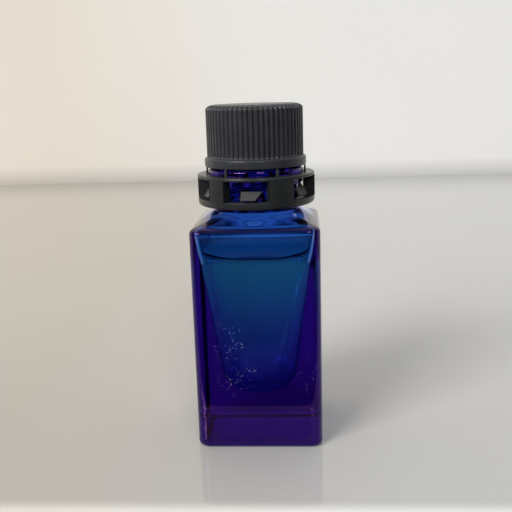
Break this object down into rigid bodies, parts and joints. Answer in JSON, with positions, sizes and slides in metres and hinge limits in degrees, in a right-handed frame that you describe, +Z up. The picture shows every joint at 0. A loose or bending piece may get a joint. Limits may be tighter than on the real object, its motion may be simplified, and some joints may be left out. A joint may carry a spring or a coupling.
{
  "type": "perfume oil bottle",
  "caption": "Small square blue glass bottle with a heavy base, a ribbed black screw cap and a windowed tamper-evident ring.",
  "frame": {"origin": "centre of the base, on the surface it stands on", "axes": "+Z up along the neck, X and Y square to the body's flat sides"},
  "size_m": [0.0264, 0.0264, 0.0711],
  "materials": {
    "blue_glass": "polished",
    "oil": "clear liquid",
    "black_plastic": "satin",
    "flap_plastic": "satin",
    "insert_plastic": "translucent",
    "liner_foam": "foam"
  },
  "bodies": {
    "bottle": {"glass_bottle": "blue_glass", "perfume_oil": "oil", "dropper_insert": "insert_plastic"},
    "liner": {"cap_liner": "liner_foam"},
    "cap": {"cap_shell": "black_plastic"},
    "ring": {"tamper_ring": "black_plastic", "bridge_pins": "black_plastic"},
    "flap_1": {"catch_flap_1": "flap_plastic"},
    "flap_2": {"catch_flap_2": "flap_plastic"},
    "flap_3": {"catch_flap_3": "flap_plastic"},
    "flap_4": {"catch_flap_4": "flap_plastic"},
    "flap_5": {"catch_flap_5": "flap_plastic"},
    "flap_6": {"catch_flap_6": "flap_plastic"}
  },
  "joints": [
    {"name": "cap_rise", "type": "slide", "parent": "bottle", "child": "liner", "axis": [0, 0, 1], "range_m": [0, 0.013]},
    {"name": "cap_turn", "type": "hinge", "parent": "liner", "child": "cap", "pos_m": [0, 0, 0.0605], "axis": [0, 0, 1], "range_deg": [0, 1570]},
    {"name": "ring_turn", "type": "hinge", "parent": "bottle", "child": "ring", "pos_m": [0, 0, 0.0537], "axis": [0, 0, 1], "continuous": true},
    {"name": "flap_1_flex", "type": "hinge", "parent": "ring", "child": "flap_1", "pos_m": [-0.01019, -0.00401, 0.05237], "axis": [0.3665, -0.9304, 0], "range_deg": [0, 32], "stiffness_Nm_per_rad": 0.001},
    {"name": "flap_2_flex", "type": "hinge", "parent": "ring", "child": "flap_2", "pos_m": [-0.00133, -0.01087, 0.05237], "axis": [0.9925, -0.1219, 0], "range_deg": [0, 32], "stiffness_Nm_per_rad": 0.001},
    {"name": "flap_3_flex", "type": "hinge", "parent": "ring", "child": "flap_3", "pos_m": [0.00971, -0.00506, 0.05237], "axis": [0.4617, 0.887, 0], "range_deg": [0, 32], "stiffness_Nm_per_rad": 0.001},
    {"name": "flap_4_flex", "type": "hinge", "parent": "ring", "child": "flap_4", "pos_m": [0.00948, 0.00547, 0.05237], "axis": [-0.5, 0.866, 0], "range_deg": [0, 32], "stiffness_Nm_per_rad": 0.001},
    {"name": "flap_5_flex", "type": "hinge", "parent": "ring", "child": "flap_5", "pos_m": [0.00057, 0.01094, 0.05237], "axis": [-0.9986, 0.0523, 0], "range_deg": [0, 32], "stiffness_Nm_per_rad": 0.001},
    {"name": "flap_6_flex", "type": "hinge", "parent": "ring", "child": "flap_6", "pos_m": [-0.00886, 0.00644, 0.05237], "axis": [-0.5878, -0.809, 0], "range_deg": [0, 32], "stiffness_Nm_per_rad": 0.001}
  ],
  "couplings": [
    {"joint": "cap_turn", "follows": "cap_rise", "rad_per_m": 2094.4}
  ]
}
